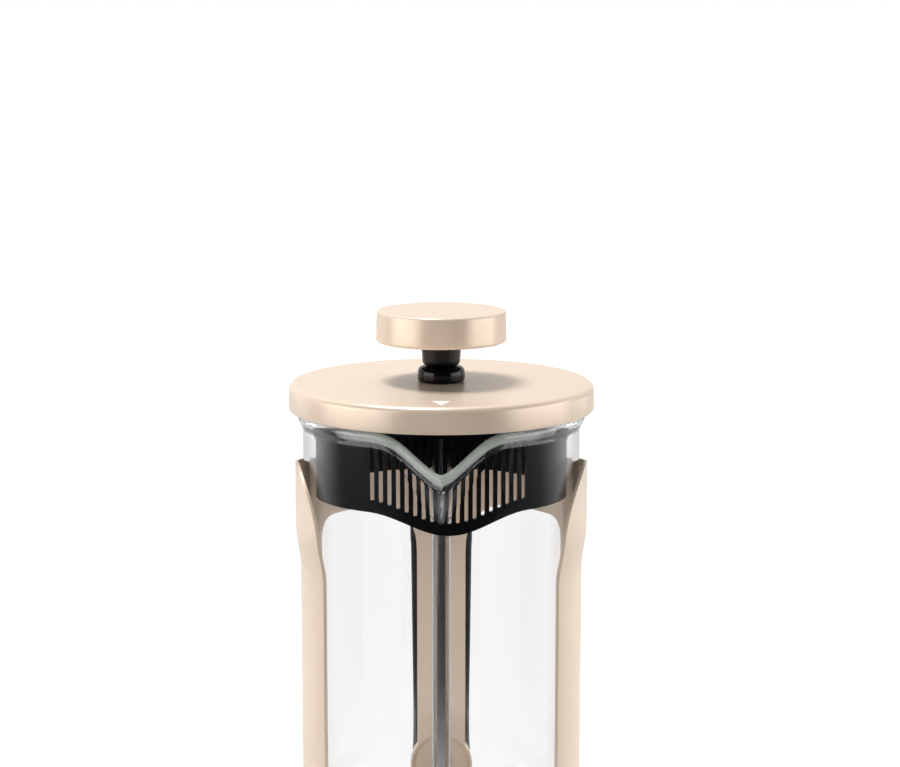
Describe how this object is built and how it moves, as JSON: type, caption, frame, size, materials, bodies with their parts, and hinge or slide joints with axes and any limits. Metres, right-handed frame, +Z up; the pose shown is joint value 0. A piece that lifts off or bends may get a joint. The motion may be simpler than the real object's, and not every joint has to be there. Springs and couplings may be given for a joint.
{
  "type": "french press",
  "caption": "Plunger coffee press with a glass beaker and V spout, a painted sheet-steel frame, a side handle, a flat lid with a strainer sleeve and a disc knob.",
  "frame": {"origin": "on the beaker's axis, in the plane of the table that the rubber foot stands on", "axes": "+Z up along the plunger rod, -Y towards the pouring spout, +Y towards the handle"},
  "size_m": [0.1056, 0.1551, 0.2218],
  "materials": {
    "cream_paint": "satin",
    "steel_plate": "brushed",
    "rod_steel": "polished",
    "screw_steel": "nickel plated",
    "spring_steel": "drawn wire",
    "mesh_steel": "woven",
    "brass": "turned",
    "handle_plastic": "satin",
    "liner_plastic": "satin",
    "gland_plastic": "glossy",
    "foot_rubber": "matt",
    "silicone": "matt",
    "beaker_glass": "clear"
  },
  "bodies": {
    "frame": {"frame_shell": "cream_paint", "base_plate": "steel_plate", "foot_pad": "foot_rubber", "beaker_cushion": "silicone", "handle": "handle_plastic", "handle_inserts": "brass", "handle_screw_upper": "screw_steel", "handle_screw_lower": "screw_steel"},
    "beaker": {"glass_beaker": "beaker_glass"},
    "gland": {"lid_gland": "gland_plastic", "gland_retainer": "steel_plate"},
    "lid": {"lid_cap": "cream_paint", "lid_liner": "liner_plastic"},
    "plunger": {"plunger_rod": "rod_steel", "rod_stop": "rod_steel"},
    "knob": {"knob_shell": "cream_paint", "knob_core": "gland_plastic", "knob_insert": "brass"},
    "filter": {"spiral_plate": "steel_plate", "edge_spring": "spring_steel", "mesh_screen": "mesh_steel", "cross_plate": "steel_plate", "filter_hub": "rod_steel"}
  },
  "joints": [
    {"name": "beaker_lift", "type": "slide", "parent": "frame", "child": "beaker", "axis": [0, 0, 1], "range_m": [0, 0.165]},
    {"name": "lid_lift", "type": "slide", "parent": "beaker", "child": "gland", "axis": [0, 0, 1], "range_m": [0, 0.17]},
    {"name": "lid_turn", "type": "hinge", "parent": "gland", "child": "lid", "pos_m": [0, 0, 0.19], "axis": [0, 0, 1], "continuous": true},
    {"name": "plunge", "type": "slide", "parent": "gland", "child": "plunger", "axis": [0, 0, 1], "range_m": [0, 0.118]},
    {"name": "knob_unscrew", "type": "hinge", "parent": "plunger", "child": "knob", "pos_m": [0, 0, 0.2], "axis": [0, 0, 1], "continuous": true},
    {"name": "filter_unscrew", "type": "hinge", "parent": "plunger", "child": "filter", "pos_m": [0, 0, 0.03], "axis": [0, 0, 1], "continuous": true}
  ]
}
